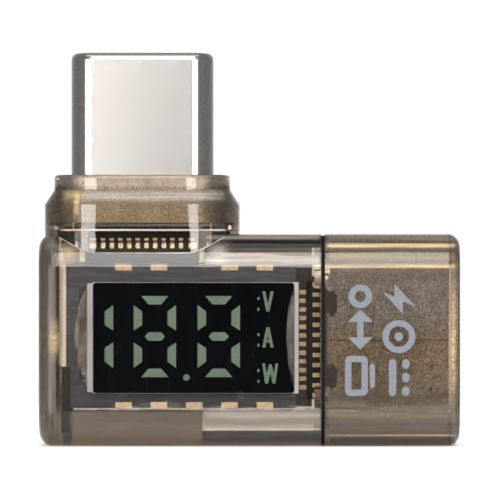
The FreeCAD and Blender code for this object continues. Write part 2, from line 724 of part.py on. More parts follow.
def chip_leads():
    """The tinned leads and end caps of the parts on the back of the main board."""
    body = new_body("chip_leads")
    back = "dims.board_thick / 2"
    places = [("sensor", -7.2, 4.1, 0.65, 4, 1.9), ("regulator", -7.2, 8.3, 0.95, 3, 1.9)]
    for name, centre_x, centre_z, pitch, count, reach in places:
        for row, side in (("low", -1), ("high", 1)):
            first = centre_x - pitch * (count - 1) / 2
            inner = centre_z + side * 0.85
            outer = centre_z + side * (reach / 2 + 0.35)
            lead = slab("Pad", body, f"{name}_{row}_lead", *about(first, "0.3"), back, f"{back} + 0.16",
                        f"{min(inner, outer)}", f"{max(inner, outer)}")
            repeat(body, f"{name}_{row}_leads", [lead], "X_Axis", f"{pitch}", f"{count}")
    return body


def small_parts(label, places, length, height, thickness):
    """Several equal chip parts on the back of the main board."""
    body = new_body(label)
    back = "dims.board_thick / 2"
    for i, (centre_x, centre_z) in enumerate(places):
        slab("Pad", body, f"part_{i}", *about(centre_x, length), f"{back} + 0.02",
             f"{back} + 0.02 + {thickness}", *about(centre_z, height))
    return body


# ---------------------------------------------------------------- read-out

def box_about(x, z, half_width, half_height):
    """The four corners of a rectangle about a point."""
    return [(x - half_width, z - half_height), (x + half_width, z - half_height),
            (x + half_width, z + half_height), (x - half_width, z + half_height)]


def digit_posts(digit_x, sides):
    """The upright segments of a digit, upper and lower, on the sides asked for."""
    stroke = size_of("dims.digit_stroke")
    outer = size_of("dims.digit_width") / 2
    inner = outer - stroke
    far = size_of("dims.digit_height") / 2 - 0.52
    near = 0.34
    shapes = []
    for side in sides:
        for up in (1, -1):
            shapes.append([(digit_x + side * outer, up * far), (digit_x + side * inner, up * (far - 0.37)),
                           (digit_x + side * inner, up * (near + 0.32)), (digit_x + side * outer, up * near)])
    return shapes


def digit_bars(digit_x):
    """The level segments of a digit: top, middle and bottom."""
    stroke = size_of("dims.digit_stroke")
    half_width = size_of("dims.digit_width") / 2
    top = size_of("dims.digit_height") / 2
    long_half = half_width - 0.44
    short_half = long_half - 0.42
    shapes = []
    for up in (1, -1):
        inner = up * (top - stroke)
        shapes.append([(digit_x - long_half, up * top), (digit_x + long_half, up * top),
                       (digit_x + short_half, inner), (digit_x - short_half, inner)])
    half = stroke / 2
    flat = 0.37
    point = 0.58
    shapes.append([(digit_x - point, 0), (digit_x - flat, half), (digit_x + flat, half), (digit_x + point, 0),
                   (digit_x + flat, -half), (digit_x - flat, -half)])
    return shapes


def digit_shapes():
    """Every segment outline: a leading one and two full digits, about the digits' centre line."""
    first = size_of("dims.first_digit_x")
    pitch = size_of("dims.digit_pitch")
    shapes = digit_posts(first - 3.61, (1,))
    for place in range(2):
        shapes += digit_posts(first + place * pitch, (-1, 1)) + digit_bars(first + place * pitch)
    return shapes


def digit_segments():
    """The pale resin light guides that fill the segment wells, with the decimal point."""
    body = new_body("digit_segments")
    outlines = draw_on(body, "outlines", "XZ_Plane", "0", "dims.digit_z", "dims.readout_front")
    for shape in digit_shapes():
        outline(outlines, shape)
    pad(body, "segments", outlines, "dims.well_depth")
    point = draw_on(body, "point_outline", "XZ_Plane", "dims.point_x", "dims.point_z", "dims.readout_front")
    circle = Part.Circle(FreeCAD.Vector(0, 0, 0), FreeCAD.Vector(0, 0, 1), size_of("dims.point_round"))
    point.addGeometry(circle, False)
    pad(body, "decimal_point", point, "dims.well_depth")
    return body


def letter_v(left, middle, up):
    """The outline of a V, or upside down of an A without its bar."""
    width = size_of("dims.letter_width")
    tall = size_of("dims.letter_height")
    stroke = size_of("dims.letter_stroke")
    inner = tall * (1 - (width / 2 - stroke) / (width / 2 - stroke / 2))
    points = [(0, tall), (stroke, tall), (width / 2, inner), (width - stroke, tall), (width, tall),
              (width / 2 + stroke / 2, 0), (width / 2 - stroke / 2, 0)]
    return [(left + x, middle + up * (z - tall / 2)) for x, z in points]


def letter_w(left, middle):
    """The outline of a W."""
    width = 1.4 * size_of("dims.letter_width")
    tall = size_of("dims.letter_height")
    stroke = size_of("dims.letter_stroke") * 0.9
    foot = width * 0.27
    inner = tall * (1 - (foot - stroke) / (foot - stroke / 2))
    points = [(0, tall), (stroke, tall), (foot, inner), (width / 2 - stroke / 2, tall * 0.95),
              (width / 2 + stroke / 2, tall * 0.95), (width - foot, inner), (width - stroke, tall),
              (width, tall), (width - foot + stroke / 2, 0), (width - foot - stroke / 2, 0),
              (width / 2, tall * 0.5),
              (foot + stroke / 2, 0), (foot - stroke / 2, 0)]
    return [(left + x, middle + z - tall / 2) for x, z in points]


def unit_marks():
    """The unit letters V, A and W beside the digits, each with its two dots."""
    body = new_body("unit_marks")
    left = size_of("dims.letter_x")
    pitch = size_of("dims.letter_pitch")
    middle_of_a = left + size_of("dims.letter_width") / 2
    letters = draw_on(body, "letters", "XZ_Plane", "0", "dims.readout_z + 0.03", "dims.readout_front")
    outline(letters, letter_v(left, pitch, 1))
    outline(letters, letter_v(left, 0, -1))
    outline(letters, letter_w(left, -pitch))
    outline(letters, [(middle_of_a - 0.07, -0.3), (middle_of_a + 0.07, -0.3),
                      (middle_of_a + 0.04, -0.14), (middle_of_a - 0.04, -0.14)])
    for row in (1, 0, -1):
        for drop in (0.16, -0.45):
            outline(letters, box_about(left - 0.22, row * pitch + drop, 0.06, 0.08))
    pad(body, "marks", letters, "dims.well_depth")
    return body


def light_chips():
    """One bare light-emitting chip under each segment of the digits."""
    body = new_body("light_chips")
    dots = draw_on(body, "outlines", "XZ_Plane", "0", "dims.digit_z", "dims.readout_back - 0.16")
    for shape in digit_shapes():
        x = sum(point[0] for point in shape) / len(shape)
        z = sum(point[1] for point in shape) / len(shape)
        outline(dots, box_about(x, z, 0.12, 0.12))
    pad(body, "chips", dots, "0.15")
    return body


def readout_frame(tools):
    """The white moulding with a light well for every segment, a lip at its right and a ledge at its left."""
    body = new_body("readout_frame")
    left = "(dims.readout_x - dims.readout_width / 2)"
    right = "(dims.readout_x + dims.readout_width / 2)"
    low = "dims.readout_z - dims.readout_height / 2"
    high = "dims.readout_z + dims.readout_height / 2"
    slab("Pad", body, "frame", f"{left} - dims.frame_edge", f"{right} + 0.24",
         "dims.readout_front + dims.mask_thick", "dims.readout_back", f"{low} - dims.frame_edge",
         f"{high} + dims.frame_edge")
    slab("Pad", body, "ledge", f"{left} - dims.ledge_width", left, "dims.readout_front + 0.55",
         "dims.readout_back", f"{low} + 0.05", f"{high} - 0.05")
    return carve("readout_frame", body, tools)


def readout_mask(tools):
    """The black film on the front of the read-out, open over the segments and letters."""
    body = new_body("readout_mask")
    face = draw_on(body, "face_outline", "XZ_Plane", "dims.readout_x", "dims.readout_z", "dims.readout_front")
    rounded_rectangle(face, "dims.readout_width", "dims.readout_height", "0.18")
    pad(body, "film", face, "dims.mask_thick")
    return carve("readout_mask", body, tools)


def bead_of_glue(body, name, chord_x, bulge, front, back):
    """A bead of clear glue up an end of the read-out, flat on its right and bulging to its left."""
    sketch = draw_on(body, f"{name}_outline", "XZ_Plane", chord_x, "dims.digit_z", front)
    half = size_of("dims.glue_height") / 2
    bottom = FreeCAD.Vector(0, -half, 0)
    top = FreeCAD.Vector(0, half, 0)
    sketch.addGeometry(Part.Arc(top, FreeCAD.Vector(-size_of(bulge), 0, 0), bottom), False)
    sketch.addGeometry(Part.LineSegment(bottom, top), False)
    return pad(body, name, sketch, f"{back} - ({front})")


def clear_glue():
    """The clear glue that fixes the read-out: a bead at its left end and a smear over its right edge."""
    body = new_body("clear_glue")
    bead_of_glue(body, "left_bead", "dims.readout_x - dims.readout_width / 2 - dims.ledge_width - 0.02",
                 "0.72", "dims.readout_front + 0.13", "dims.readout_back - 0.05")
    bead_of_glue(body, "right_smear", "dims.readout_x + dims.readout_width / 2 - 0.02", "0.45",
                 "dims.readout_front - 0.16", "dims.readout_front - 0.01")
    return body


# ---------------------------------------------------------------- assembly

cover("front_cover", True)
cover("rear_cover", False)
end_sleeve()
seam_seal()

shell = plug_shell()
front_plug_contacts = plug_contacts("plug_front_contacts", -1)
rear_plug_contacts = plug_contacts("plug_rear_contacts", 1)
plate = latch_plate()
latch_arm("left_latch_arm", -1)
latch_arm("right_latch_arm", 1)
ground_springs()
plug_core([front_plug_contacts, rear_plug_contacts, plate])
plug_solder()

port_shell()
front_port_contacts = port_contacts("port_front_contacts", -1, 2.9)
rear_port_contacts = port_contacts("port_rear_contacts", 1, 3.4)
port_core([front_port_contacts, rear_port_contacts, port_mid_plate()])
port_rear_block([front_port_contacts, port_heels()])

board = main_board()
plug_rear_block([board, shell, plate, front_plug_contacts, rear_plug_contacts])
readout_board()
edge_pads()
chip("controller_chip", -1.6, 6.2, 4.0, 4.0, 0.8)
chip("current_sensor", -7.2, 4.1, 2.9, 1.6, 0.95)
chip("voltage_regulator", -7.2, 8.3, 2.9, 1.6, 0.95)
chip("shunt_resistor", 1.7, 3.4, 3.2, 1.6, 0.5)
chip_leads()
small_parts("ceramic_capacitors", [(-4.6, 3.2), (-4.6, 4.6), (-4.6, 7.8), (-4.6, 9.2), (1.8, 8.4),
                                   (-9.7, 6.2)], 0.6, 1.1, 0.55)
small_parts("chip_resistors", [(-2.6, 9.5), (-1.5, 9.5), (-0.4, 9.5), (-2.6, 2.8), (-1.5, 2.8), (-0.4, 2.8)],
            0.5, 1.0, 0.32)

segments = digit_segments()
marks = unit_marks()
readout_frame([segments, marks, light_chips()])
readout_mask([segments, marks])
clear_glue()

doc.recompute()
for thing in doc.Objects:
    if "Invalid" in thing.State or "Error" in thing.State:
        raise RuntimeError(f"{thing.Name} ({thing.Label}) did not build: {thing.State}")

os.makedirs("parts", exist_ok=True)
for thing in sub_parts:
    if thing.Shape.isNull() or not thing.Shape.isValid():
        raise RuntimeError(f"{thing.Label} has no valid shape")
    print(f"{thing.Label}: {len(thing.Shape.Solids)} solids, {thing.Shape.Volume:.3f} mm3")
    thing.Shape.exportStep(f"parts/{thing.Label}.step")
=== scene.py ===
import functools
import json
import math
import random

import bmesh
import bpy
from mathutils import Matrix, Vector


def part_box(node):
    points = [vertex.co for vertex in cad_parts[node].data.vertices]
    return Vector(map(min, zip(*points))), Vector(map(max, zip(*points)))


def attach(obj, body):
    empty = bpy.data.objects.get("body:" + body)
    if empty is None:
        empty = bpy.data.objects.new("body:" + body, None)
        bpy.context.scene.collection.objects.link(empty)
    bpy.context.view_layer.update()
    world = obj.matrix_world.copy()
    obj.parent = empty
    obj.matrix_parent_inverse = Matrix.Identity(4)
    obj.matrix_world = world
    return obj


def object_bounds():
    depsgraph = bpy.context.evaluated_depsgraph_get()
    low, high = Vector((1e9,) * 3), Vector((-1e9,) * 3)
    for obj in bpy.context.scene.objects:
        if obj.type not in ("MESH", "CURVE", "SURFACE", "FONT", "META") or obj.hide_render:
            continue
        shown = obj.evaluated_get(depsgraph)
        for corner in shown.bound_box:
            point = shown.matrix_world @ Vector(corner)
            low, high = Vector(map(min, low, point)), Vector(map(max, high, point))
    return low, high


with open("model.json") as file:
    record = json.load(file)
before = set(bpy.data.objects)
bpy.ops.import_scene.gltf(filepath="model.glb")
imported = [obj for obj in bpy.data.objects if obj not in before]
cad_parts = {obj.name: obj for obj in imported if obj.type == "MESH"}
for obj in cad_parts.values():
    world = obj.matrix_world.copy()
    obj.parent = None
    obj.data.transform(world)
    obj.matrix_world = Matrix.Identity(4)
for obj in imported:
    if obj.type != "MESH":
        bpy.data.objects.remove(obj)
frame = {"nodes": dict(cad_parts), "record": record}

# The looks of a right-angle USB-C power meter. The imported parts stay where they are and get
# their materials here; the pieces that the CAD leaves out, such as the printed marks, are added.

cad_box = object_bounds()

BODY = "meter"
MM = 0.001
BEYOND = 1.0                    # a metre: past the meter on every side

PLASTIC_IOR = 1.58
WET_IOR = 1.04                  # where the plastic wets steel, so that their border hardly shows
CLIP_TOP = 4.55 * MM            # the top of the clip slot at the left of the read-out
STEP_LEFT = -2.6 * MM           # where the case's hollow grows taller, toward the socket
NOTCH_SPREAD = 2.1 * MM         # from the socket's middle to each notch in its shell

INK_THICK = 0.02 * MM
STROKE = 0.36                   # the printed signs' stroke, in millimetres

LAMP_DISTANCE = 0.5             # metres from each softbox to the meter's middle
LENS = 400.0                    # the camera's focal length and sensor width, in millimetres
SENSOR = 36.0

case_low, case_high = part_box("front_cover")
sleeve_low, sleeve_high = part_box("end_sleeve")
plug_low, plug_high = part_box("plug_shell")
block_low, block_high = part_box("plug_rear_block")
port_low, port_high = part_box("port_shell")
board_low, board_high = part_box("readout_board")
seam_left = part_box("seam_seal")[0].x
ledge_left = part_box("readout_frame")[0].x
port_middle = (port_low.z + port_high.z) / 2
sleeve_middle = (sleeve_low.z + sleeve_high.z) / 2


# ---------------------------------------------------------------- node helpers

def linear(red, green, blue):
    """A screen colour of 0 to 255 as the linear colour that shaders take."""
    def channel(value):
        value /= 255
        return value / 12.92 if value <= 0.04045 else ((value + 0.055) / 1.055) ** 2.4
    return (channel(red), channel(green), channel(blue), 1.0)


class Shader:
    """A material with short calls for the nodes that the materials here use."""

    def __init__(self, name):
        self.material = bpy.data.materials.new(name)
        self.material.use_nodes = True
        self.tree = self.material.node_tree
        self.tree.nodes.clear()
        self.output = self.add("ShaderNodeOutputMaterial")
        self.place = self.add("ShaderNodeTexCoord").outputs["Object"]

    def add(self, kind, **values):
        node = self.tree.nodes.new(kind)
        for name, value in values.items():
            setattr(node, name, value)
        return node

    def link(self, start, end):
        self.tree.links.new(start, end)

    def principled(self, **sockets):
        node = self.add("ShaderNodeBsdfPrincipled")
        for name, value in sockets.items():
            node.inputs[name.replace("_", " ")].default_value = value
        return node

    def matt(self, colour):
        """A plain matt surface."""
        node = self.add("ShaderNodeBsdfDiffuse")
        node.inputs["Color"].default_value = colour
        return node

    def blend(self, first, second, share):
        """Two surfaces mixed, where share is how much there is of the second."""
        mix = self.add("ShaderNodeMixShader")
        self.link(share, mix.inputs["Fac"])
        self.link(first, mix.inputs[1])
        self.link(second, mix.inputs[2])
        return mix.outputs["Shader"]

    def noise(self, size, detail=3.0, stretch=(1, 1, 1), roughness=0.55):
        """Noise with lumps about size metres across, stretched along the axes."""
        mapping = self.add("ShaderNodeMapping")
        mapping.inputs["Scale"].default_value = [1 / (size * s) for s in stretch]
        self.link(self.place, mapping.inputs["Vector"])
        noise = self.add("ShaderNodeTexNoise")
        noise.inputs["Scale"].default_value = 1.0
        noise.inputs["Detail"].default_value = detail
        noise.inputs["Roughness"].default_value = roughness
        self.link(mapping.outputs["Vector"], noise.inputs["Vector"])
        return noise.outputs["Fac"]

    def ramp(self, source, stops):
        """Colours or greys at places from 0 to 1 along source."""
        ramp = self.add("ShaderNodeValToRGB")
        self.link(source, ramp.inputs["Fac"])
        while len(ramp.color_ramp.elements) < len(stops):
            ramp.color_ramp.elements.new(0.5)
        for element, (place, colour) in zip(ramp.color_ramp.elements, stops):
            element.position = place
            element.color = colour if len(colour) == 4 else (*colour, 1.0)
        return ramp.outputs["Color"]

    def greys(self, source, *stops):
        """Greys at places from 0 to 1 along source."""
        return self.ramp(source, [(place, (grey, grey, grey)) for place, grey in stops])

    def span(self, source, low, high):
        """source, from 0 to 1, mapped to run from low to high."""
        span = self.add("ShaderNodeMapRange")
        span.inputs["To Min"].default_value = low
        span.inputs["To Max"].default_value = high
        self.link(source, span.inputs["Value"])
        return span.outputs["Result"]

    def maths(self, operation, *values):
        """A Math node on outputs or plain numbers."""
        node = self.add("ShaderNodeMath", operation=operation)
        for socket, value in zip(node.inputs, values):
            if isinstance(value, (int, float)):
                socket.default_value = value
            else:
                self.link(value, socket)
        return node.outputs["Value"]

    def product(self, *factors):
        """Outputs or plain numbers multiplied together."""
        return functools.reduce(functools.partial(self.maths, "MULTIPLY"), factors)

    def total(self, *terms):
        """Outputs or plain numbers added together."""
        return functools.reduce(functools.partial(self.maths, "ADD"), terms)

    def mix_colour(self, first, second, blend, share=1.0):
        """Two colours or greys blended, by a plain or an uneven share."""
        node = self.add("ShaderNodeMix", data_type="RGBA", blend_type=blend)
        self.link(first, node.inputs["A"])
        self.link(second, node.inputs["B"])
        if isinstance(share, (int, float)):
            node.inputs["Factor"].default_value = share
        else:
            self.link(share, node.inputs["Factor"])
        return node.outputs["Result"]

    def along(self, axis):
        """The place along the X, Y or Z axis."""
        split = self.add("ShaderNodeSeparateXYZ")
        self.link(self.place, split.inputs[0])
        return split.outputs[axis]

    def inside(self, low, high):
        """1 inside a box between two corners, and 0 outside it."""
        return self.product(*[self.maths("COMPARE", self.along(axis), (start + end) / 2, (end - start) / 2)
                              for axis, start, end in zip("XYZ", low, high)])

    def rise(self, axis, low, high):
        """0 at low and 1 at high along an axis, smooth between, and level past them."""
        rise = self.add("ShaderNodeMapRange", interpolation_type="SMOOTHSTEP")
        rise.inputs["From Min"].default_value = low
        rise.inputs["From Max"].default_value = high
        self.link(self.along(axis), rise.inputs["Value"])
        return rise.outputs["Result"]

    def band(self, axis, start, full, fading, end):
        """0 up to start, 1 between full and fading, and 0 past end."""
        return self.product(self.rise(axis, start, full), self.rise(axis, end, fading))

    def stripe(self, axis, middle, half):
        """1 at a place along an axis, fading to 0 at half a stripe away on both sides."""
        below = self.rise(axis, middle - half, middle)
        above = self.rise(axis, middle, middle + half)
        return self.maths("SUBTRACT", below, above)

    def spot(self, middle_x, half_x, middle_z, half_z):
        """1 at a place seen from the front, fading to 0 across and up."""
        return self.product(self.stripe("X", middle_x, half_x), self.stripe("Z", middle_z, half_z))

    def bump(self, source, height, strength=1.0, before=None):
        bump = self.add("ShaderNodeBump")
        bump.inputs["Distance"].default_value = height
        bump.inputs["Strength"].default_value = strength
        self.link(source, bump.inputs["Height"])
        if before is not None:
            self.link(before, bump.inputs["Normal"])
        return bump.outputs["Normal"]

    def finish(self, surface, volume=None):
        self.link(surface, self.output.inputs["Surface"])
        if volume is not None:
            self.link(volume, self.output.inputs["Volume"])
        return self.material


def upright_strip(left, right, foot=0.0, top=BEYOND):
    """The corners of a box between two sides, right through the meter from front to back."""
    return (left, -BEYOND, foot), (right, BEYOND, top)


def enlarged_box(low, high, margin=0.1 * MM):
    """The corners of a box a margin larger on every side."""
    border = Vector((margin, margin, margin))
    return low - border, high + border


# ---------------------------------------------------------------- the smoke plastic

def lets_lamps_through(shader, surface, tint):
    """A surface that lamps shine through, as they do through thin clear plastic."""
    clear = shader.add("ShaderNodeBsdfTransparent")
    clear.inputs["Color"].default_value = tint
    path = shader.add("ShaderNodeLightPath")
    return shader.blend(surface, clear.outputs["BSDF"], path.outputs["Is Shadow Ray"])


def painted_highlight_lines(shader):
    """Painted highlights: level lines and bands of painted light in the plastic, along the sleeve, along the
    taller hollow beside it and along the plug's collar, where rounded edges and the hollow's roof and floor
    catch reflections. Each has its height, its half width and its strength."""
    foot, top, ears = sleeve_low.z, sleeve_high.z, block_high.z
    along_sleeve = shader.band("X", sleeve_low.x + 0.6 * MM, sleeve_low.x + 0.9 * MM,
                               sleeve_high.x - 0.5 * MM, sleeve_high.x - 0.1 * MM)
    along_step = shader.band("X", STEP_LEFT, STEP_LEFT + 0.1 * MM,
                             sleeve_low.x + 0.25 * MM, sleeve_low.x + 0.35 * MM)
    along_collar = shader.band("X", block_low.x - 0.1 * MM, block_low.x + 0.3 * MM,
                               block_high.x, block_high.x + 0.3 * MM)
    lines = [
        (along_sleeve, top - 0.25 * MM, 0.25 * MM, 0.14),       # the sleeve's top edge
        (along_sleeve, top - 0.66 * MM, 0.20 * MM, 0.95),       # the golden line under it
        (along_sleeve, top - 1.28 * MM, 0.36 * MM, 0.30),       # the pale band between the golden lines
        (along_sleeve, top - 1.85 * MM, 0.18 * MM, 0.95),       # the golden line over the socket's shell
        (along_sleeve, foot + 1.95 * MM, 0.95 * MM, 0.18),      # the broad band under the socket's shell
        (along_sleeve, foot + 0.65 * MM, 0.07 * MM, 0.70),      # the thin line at the sleeve's foot
        (along_step, top - 0.20 * MM, 0.20 * MM, 0.25),         # the case's top edge
        (along_step, top - 1.55 * MM, 0.40 * MM, 0.55),         # the bright roof of the hollow
        (along_step, foot + 1.78 * MM, 0.45 * MM, 0.32),        # its floor
        (along_step, foot + 1.01 * MM, 0.07 * MM, 0.80),        # the thin line under the floor
        (along_collar, ears + 1.55 * MM, 0.45 * MM, 0.42),      # the collar's shoulder
        (along_collar, ears - 0.13 * MM, 0.17 * MM, 0.15),      # the dim band at the collar's foot
        (along_collar, ears - 0.42 * MM, 0.09 * MM, 1.00)]      # the cream line under it
    return shader.total(*[shader.product(run, shader.stripe("Z", height, half), strength)
                          for run, height, half, strength in lines])


def painted_highlight_edges(shader, streaks, patches):
    """How strongly painted highlights show in the plastic along its inner edges, where they stand in for the
    light it
    catches: the lines, and painted glows in the left wall, in the collar's left flank, under the collar's
    corners and at the socket's mouth."""
    # painted glows: left wall, collar's left flank, under the collar's corners, socket's mouth
    wall = shader.spot(block_low.x - 0.38 * MM, 0.45 * MM, sleeve_middle + 0.1 * MM, 1.5 * MM)
    flank = shader.spot(block_low.x + 0.90 * MM, 0.28 * MM, block_high.z + 1.0 * MM, 1.0 * MM)
    under_collar = sleeve_high.z - 1.25 * MM
    corners = shader.total(shader.spot(block_low.x + 0.4 * MM, 0.9 * MM, under_collar, 0.75 * MM),
                           shader.spot(block_high.x - 0.2 * MM, 0.9 * MM, under_collar, 0.75 * MM))
    mouth = shader.spot(sleeve_high.x - 0.44 * MM, 0.34 * MM, sleeve_middle, 5.2 * MM)
    glow = shader.total(painted_highlight_lines(shader), shader.product(wall, 0.75), shader.product(flank, 0.75),
                        shader.product(corners, 0.5), shader.product(mouth, shader.span(patches, 0.0, 1.6)))
    return shader.product(glow, shader.greys(streaks, (0.36, 0.45), (0.6, 1.0)))


def painted_shade_places(shader, patches):
    """How much painted shade there is in the plastic where its walls turn away or stand over something dark:
    the two ends of the plug's collar, the left wall, the clip slot, the notches in the socket's shell and the
    sleeve's end, and a glare near that end which it dims."""
    # painted shade at the two ends of the collar, where its walls turn away
    ends = shader.total(shader.stripe("X", block_low.x - 0.15 * MM, 0.75 * MM),
                        shader.stripe("X", block_high.x + 0.15 * MM, 0.75 * MM))
    height = shader.band("Z", block_high.z - 0.5 * MM, block_high.z - 0.1 * MM,
                         case_high.z - 0.8 * MM, case_high.z - 0.4 * MM)
    ends = shader.product(ends, height, shader.span(patches, 0.0, 1.1))
    # painted dark streaks that dim the highlight on the left wall
    grain = shader.noise(0.35 * MM, 3.0, (0.35, 1.0, 8.0))
    wall = shader.product(shader.stripe("X", case_low.x + 0.75 * MM, 0.75 * MM),
                          shader.greys(grain, (0.35, 0.0), (0.65, 0.42)))
    # painted shade in the clip slot
    slot = shader.inside(*upright_strip(board_low.x + 0.04 * MM, board_low.x + 0.52 * MM,
                                        sleeve_low.z + 0.80 * MM, CLIP_TOP + 0.03 * MM))
    slot = shader.product(slot, shader.span(patches, 0.3, 1.2))
    # painted shade in the notches of the socket's shell
    notches = shader.total(*[
        shader.inside(*upright_strip(port_low.x - 0.30 * MM, port_low.x + 0.44 * MM,
                                     middle - 0.54 * MM, middle + 0.54 * MM))
        for middle in (port_middle - NOTCH_SPREAD, port_middle + NOTCH_SPREAD)])
    notches = shader.product(notches, shader.span(patches, 0.7, 1.0))
    # painted shade that dims a glare near the sleeve's end, and painted shade darkening the end itself
    glare_shade = shader.product(shader.stripe("X", sleeve_high.x - 0.57 * MM, 0.13 * MM), 0.45)
    edge = shader.product(shader.rise("X", sleeve_high.x - 0.16 * MM, sleeve_high.x - 0.02 * MM), 0.6)
    return shader.total(ends, slot, wall, notches, glare_shade, edge)


def wet_places(shader, patches):
    """1 in patches where the plastic is moulded on to the plug's and the socket's shells and wets the steel."""
    margin = 0.05 * MM
    at_socket = shader.inside((port_low.x + 0.1 * MM, port_low.y - margin, port_low.z - margin),
                              (port_high.x - margin, port_high.y + margin, port_high.z + margin))
    at_plug = shader.inside((plug_low.x - margin, plug_low.y - margin, plug_high.z - 10.0 * MM),
                            (plug_high.x + margin, plug_high.y + margin, case_high.z - 0.25 * MM))
    return shader.product(shader.total(at_socket, at_plug), shader.maths("GREATER_THAN", patches, 0.36))


def painted_highlight_colour(shader):
    """The painted highlights' colour: golden, but paler from the read-out's left edge on to the seam."""
    pale = shader.band("X", board_low.x + 1.4 * MM, board_low.x + 1.5 * MM, seam_left - 0.05 * MM, seam_left)
    return shader.ramp(pale, [(0.0, (0.62, 0.46, 0.27)), (1.0, (0.60, 0.55, 0.50))])


def smoke_plastic(name):
    """Smoke-clear polycarbonate, browner the thicker it is and a little hazy outside the read-out's window."""
    shader = Shader(name)
    streaks = shader.noise(0.5 * MM, 3.0, (9.0, 1.0, 0.25))
    patches = shader.noise(0.12 * MM, 4.0, roughness=0.7)
    window = shader.inside((board_low.x - 0.25 * MM, -BEYOND, board_low.z - 0.1 * MM),
                           (board_high.x + 1.4 * MM, BEYOND, block_high.z))
    hazy = shader.maths("SUBTRACT", 1.0, window)
    side_wall = shader.rise("X", board_low.x - 0.5 * MM, board_low.x - 0.1 * MM)
    cloud = shader.product(streaks, shader.span(hazy, 0.02, 1.0), shader.span(side_wall, 0.1, 1.0))

    glass = shader.principled(Base_Color=(0.97, 0.955, 0.94, 1.0), IOR=PLASTIC_IOR, Transmission_Weight=1.0)
    rough = shader.total(shader.span(cloud, 0.005, 0.10), shader.span(side_wall, 0.24, 0.0))
    shader.link(rough, glass.inputs["Roughness"])
    waves = shader.bump(shader.noise(2.4 * MM, 2.0), 0.03 * MM, 0.5)
    shader.link(shader.bump(cloud, 0.006 * MM, 0.6, waves), glass.inputs["Normal"])
    shader.link(shader.span(wet_places(shader, patches), PLASTIC_IOR, WET_IOR), glass.inputs["IOR"])

    haze = shader.matt((0.30, 0.25, 0.20, 1.0))
    # a matt golden surface mixed in for the painted highlights
    highlight_paint = shader.matt((0.62, 0.46, 0.27, 1.0))
    shader.link(painted_highlight_colour(shader), highlight_paint.inputs["Color"])
    # a dark matt surface mixed in for the painted shade
    dark = shader.matt((0.03, 0.025, 0.02, 1.0))
    hazed = shader.span(shader.product(streaks, hazy), 0.0, 0.16)
    surface = shader.blend(glass.outputs["BSDF"], haze.outputs["BSDF"], hazed)
    surface = shader.blend(surface, highlight_paint.outputs["BSDF"], painted_highlight_edges(shader, streaks, patches))
    surface = shader.blend(surface, dark.outputs["BSDF"], painted_shade_places(shader, patches))
    surface = lets_lamps_through(shader, surface, (0.9, 0.88, 0.86, 1.0))

    smoke = shader.add("ShaderNodeVolumeAbsorption")
    smoke.inputs["Color"].default_value = (0.48, 0.38, 0.25, 1.0)
    smoke.inputs["Density"].default_value = 550.0
    return shader.finish(surface, smoke.outputs["Volume"])


# ---------------------------------------------------------------- the other materials

def glint_tones(colour):
    """Three tones of a colour for a coarse glitter of painted glints, from dark to light."""
    return [(0.34, [c * 0.38 for c in colour]), (0.48, colour), (0.62, [min(1.0, c * 1.9) for c in colour])]


def satin_steel(name, roughness, keyed_box, gold, silver, painted_light_rise, rim=None, seam=None):
    """Drawn and tumbled steel with a fine grain. Between two corners of a box, where it is keyed to the plastic
    round it, it has a glitter of painted glints, gold below a height and painted lighter to silver above it,
    with a golden rim and a rolled seam if their places are given."""
    shader = Shader(name)
    fine = shader.noise(0.07 * MM, 3.0, roughness=0.7)
    grit = shader.noise(0.11 * MM, 4.0, roughness=0.75)
    cloud = shader.noise(0.9 * MM, 5.0, roughness=0.65)
    keyed = shader.inside(*keyed_box)
    base = linear(198, 193, 188)[:3]
    plain = shader.ramp(grit, [(0.36, [c * 0.76 for c in base]), (0.6, [min(1.0, c * 1.04) for c in base])])
    # painted light: the glints turn from gold to a lighter silver higher up
    height = shader.total(shader.rise("Z", *painted_light_rise), shader.span(cloud, -0.35, 0.35))
    painted_glitter = shader.mix_colour(shader.ramp(grit, glint_tones(gold)), shader.ramp(grit, glint_tones(silver)), "MIX", height)
    painted_glitter = shader.mix_colour(painted_glitter, shader.greys(cloud, (0.3, 0.72), (0.62, 1.0)), "MULTIPLY")
    if rim is not None:
        brass = shader.ramp(grit, [(0.35, (0.42, 0.26, 0.09)), (0.65, (0.78, 0.60, 0.32))])
        painted_glitter = shader.mix_colour(painted_glitter, brass, "MIX", shader.rise("X", rim - 0.08 * MM, rim))
    if seam is not None:
        at_seam = shader.stripe("Z", seam, 0.07 * MM)
        groove = shader.ramp(at_seam, [(0.0, (1.0, 1.0, 1.0)), (1.0, (0.35, 0.3, 0.25))])
        painted_glitter = shader.mix_colour(painted_glitter, groove, "MULTIPLY")

    steel = shader.principled(Metallic=1.0)
    shader.link(shader.mix_colour(plain, painted_glitter, "MIX", keyed), steel.inputs["Base Color"])
    rough = shader.total(shader.span(fine, roughness - 0.04, roughness + 0.05), shader.product(keyed, 0.16))
    shader.link(rough, steel.inputs["Roughness"])
    grain = shader.bump(fine, 0.0015 * MM)
    shader.link(shader.bump(shader.product(grit, keyed), 0.02 * MM, before=grain), steel.inputs["Normal"])
    return shader.finish(steel.outputs["BSDF"])


def bright_metal(name, light, dark, roughness):
    """A small plated or tinned part, a little uneven."""
    shader = Shader(name)
    patches = shader.noise(0.18 * MM, 3.0)
    metal = shader.principled(Metallic=1.0)
    shader.link(shader.ramp(patches, [(0.3, dark), (0.65, light)]), metal.inputs["Base Color"])
    shader.link(shader.span(patches, roughness - 0.08, roughness + 0.1), metal.inputs["Roughness"])
    shader.link(shader.bump(patches, 0.02 * MM, 0.8), metal.inputs["Normal"])
    return shader.finish(metal.outputs["BSDF"])


